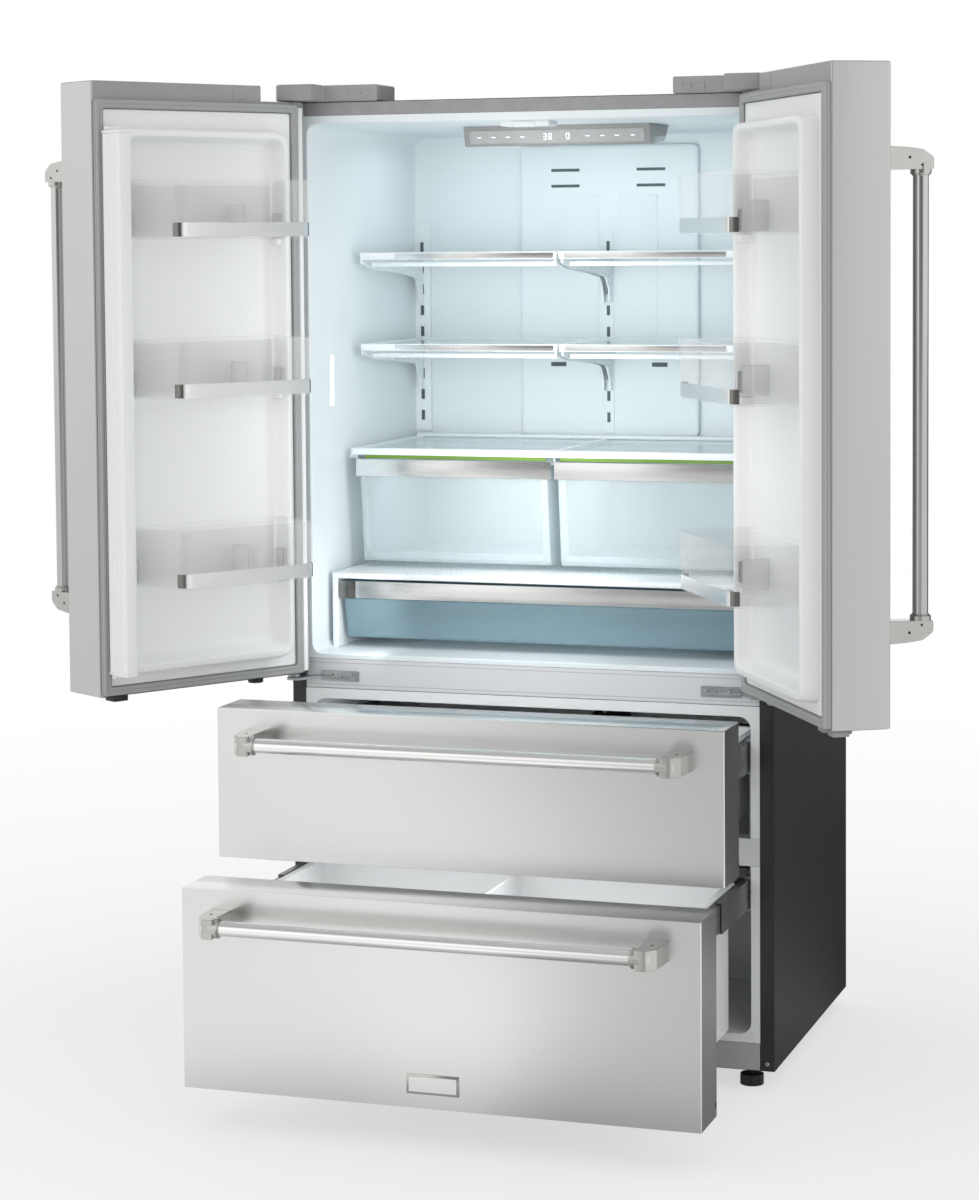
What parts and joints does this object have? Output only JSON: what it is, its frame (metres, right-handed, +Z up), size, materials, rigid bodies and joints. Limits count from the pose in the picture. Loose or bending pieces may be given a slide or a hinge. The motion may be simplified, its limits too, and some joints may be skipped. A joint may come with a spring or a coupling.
{
  "type": "french door refrigerator",
  "caption": "Tall refrigerator with hinged double doors over two pull-out freezer drawers, glass shelves, crispers, door bins and tubular handles, doors and drawers open.",
  "frame": {"origin": "on the floor under the centre of the outline, as it stands with doors and drawers open", "axes": "+X to the right when facing the front, +Y from the front towards the back, +Z up"},
  "size_m": [1.5792, 1.2218, 1.785],
  "materials": {
    "case_paint": "satin",
    "stainless_front": "brushed",
    "polished_handle": "polished",
    "zinc_steel": "satin",
    "white_liner": "satin",
    "white_steel": "satin",
    "grey_cover": "matte",
    "shelf_glass": "polished",
    "clear_bin": "polished",
    "door_seal": "matte",
    "black_part": "matte",
    "black_steel": "satin",
    "bare_aluminium": "satin"
  },
  "bodies": {
    "cabinet": {"cabinet_body": "case_paint", "back_panel": "zinc_steel", "rear_cover": "zinc_steel", "fresh_liner": "white_liner", "freezer_liner": "white_liner", "center_rail": "white_steel", "freezer_crossbar": "white_steel", "duct_cover": "white_liner", "control_panel": "grey_cover", "crisper_shelf": "shelf_glass", "deli_shelf": "white_liner", "compressor": "black_steel", "condenser": "black_steel", "evaporator": "bare_aluminium", "top_hinge_left": "zinc_steel", "top_hinge_right": "zinc_steel", "hinge_cover_left": "grey_cover", "hinge_cover_right": "grey_cover", "center_hinge_left": "zinc_steel", "center_hinge_right": "zinc_steel", "shelf_standard_left": "white_steel", "shelf_standard_right": "white_steel", "shelf_upper_left": "shelf_glass", "shelf_upper_right": "shelf_glass", "shelf_lower_left": "shelf_glass", "shelf_lower_right": "shelf_glass"},
    "left_door": {"left_door_panel": "stainless_front", "left_door_gasket": "door_seal", "left_door_liner": "white_liner", "left_door_handle": "polished_handle", "left_bin_upper": "clear_bin", "left_bin_middle": "clear_bin", "left_bin_lower": "clear_bin"},
    "right_door": {"right_door_panel": "stainless_front", "right_door_gasket": "door_seal", "right_door_liner": "white_liner", "right_door_handle": "polished_handle", "right_bin_upper": "clear_bin", "right_bin_middle": "clear_bin", "right_bin_lower": "clear_bin"},
    "flipper": {"flipper_mullion": "white_liner"},
    "upper_drawer": {"upper_drawer_front": "stainless_front", "upper_drawer_handle": "polished_handle", "upper_drawer_frame": "zinc_steel", "upper_drawer_basket": "white_liner"},
    "upper_slide": {"upper_slide_middle": "zinc_steel"},
    "lower_drawer": {"lower_drawer_front": "stainless_front", "lower_drawer_handle": "polished_handle", "lower_drawer_frame": "zinc_steel", "lower_drawer_basket": "white_liner"},
    "lower_slide": {"lower_slide_middle": "zinc_steel"},
    "crisper_left": {"crisper_left": "clear_bin"},
    "crisper_right": {"crisper_right": "clear_bin"},
    "deli_drawer": {"deli_drawer": "clear_bin"},
    "condenser_fan": {"condenser_fan": "black_part"},
    "evaporator_fan": {"evaporator_fan": "black_part"},
    "front_foot_left": {"front_foot_left": "black_part"},
    "front_foot_right": {"front_foot_right": "black_part"},
    "rear_roller_left": {"rear_roller_left": "black_part"},
    "rear_roller_right": {"rear_roller_right": "black_part"}
  },
  "joints": [
    {"name": "left_door_hinge", "type": "hinge", "parent": "cabinet", "child": "left_door", "pos_m": [-0.437, -0.0556, 1], "axis": [0, 0, -1], "range_deg": [-121.7, 3.3]},
    {"name": "right_door_hinge", "type": "hinge", "parent": "cabinet", "child": "right_door", "pos_m": [0.437, -0.0556, 1], "axis": [0, 0, 1], "range_deg": [-121.7, 3.3]},
    {"name": "flipper_hinge", "type": "hinge", "parent": "left_door", "child": "flipper", "pos_m": [-0.61678, -0.43233, 1.2], "axis": [0, 0, 1], "range_deg": [-90, 0]},
    {"name": "upper_drawer_slide", "type": "slide", "parent": "cabinet", "child": "upper_drawer", "axis": [0, -1, 0], "range_m": [-0.242, 0.158]},
    {"name": "upper_slide_extension", "type": "slide", "parent": "cabinet", "child": "upper_slide", "axis": [0, -1, 0], "range_m": [-0.121, 0.079]},
    {"name": "lower_drawer_slide", "type": "slide", "parent": "cabinet", "child": "lower_drawer", "axis": [0, -1, 0], "range_m": [-0.4, 0.02]},
    {"name": "lower_slide_extension", "type": "slide", "parent": "cabinet", "child": "lower_slide", "axis": [0, -1, 0], "range_m": [-0.2, 0.01]},
    {"name": "crisper_left_slide", "type": "slide", "parent": "cabinet", "child": "crisper_left", "axis": [0, -1, 0], "range_m": [0, 0.26]},
    {"name": "crisper_right_slide", "type": "slide", "parent": "cabinet", "child": "crisper_right", "axis": [0, -1, 0], "range_m": [0, 0.26]},
    {"name": "deli_drawer_slide", "type": "slide", "parent": "cabinet", "child": "deli_drawer", "axis": [0, -1, 0], "range_m": [0, 0.3]},
    {"name": "condenser_fan_spin", "type": "hinge", "parent": "cabinet", "child": "condenser_fan", "pos_m": [-0.15, 0.4692, 0.1325], "axis": [0, 1, 0], "continuous": true},
    {"name": "evaporator_fan_spin", "type": "hinge", "parent": "cabinet", "child": "evaporator_fan", "pos_m": [0, 0.4881, 0.578], "axis": [0, 1, 0], "continuous": true},
    {"name": "front_foot_left_screw", "type": "hinge", "parent": "cabinet", "child": "front_foot_left", "pos_m": [-0.406, 0.0104, 0.01], "axis": [0, 0, 1], "continuous": true},
    {"name": "rear_roller_left_spin", "type": "hinge", "parent": "cabinet", "child": "rear_roller_left", "pos_m": [-0.38, 0.5404, 0.015], "axis": [1, 0, 0], "continuous": true},
    {"name": "front_foot_right_screw", "type": "hinge", "parent": "cabinet", "child": "front_foot_right", "pos_m": [0.406, 0.0104, 0.01], "axis": [0, 0, 1], "continuous": true},
    {"name": "rear_roller_right_spin", "type": "hinge", "parent": "cabinet", "child": "rear_roller_right", "pos_m": [0.38, 0.5404, 0.015], "axis": [1, 0, 0], "continuous": true}
  ],
  "couplings": [
    {"joint": "upper_slide_extension", "follows": "upper_drawer_slide", "ratio": 0.5},
    {"joint": "lower_slide_extension", "follows": "lower_drawer_slide", "ratio": 0.5}
  ]
}
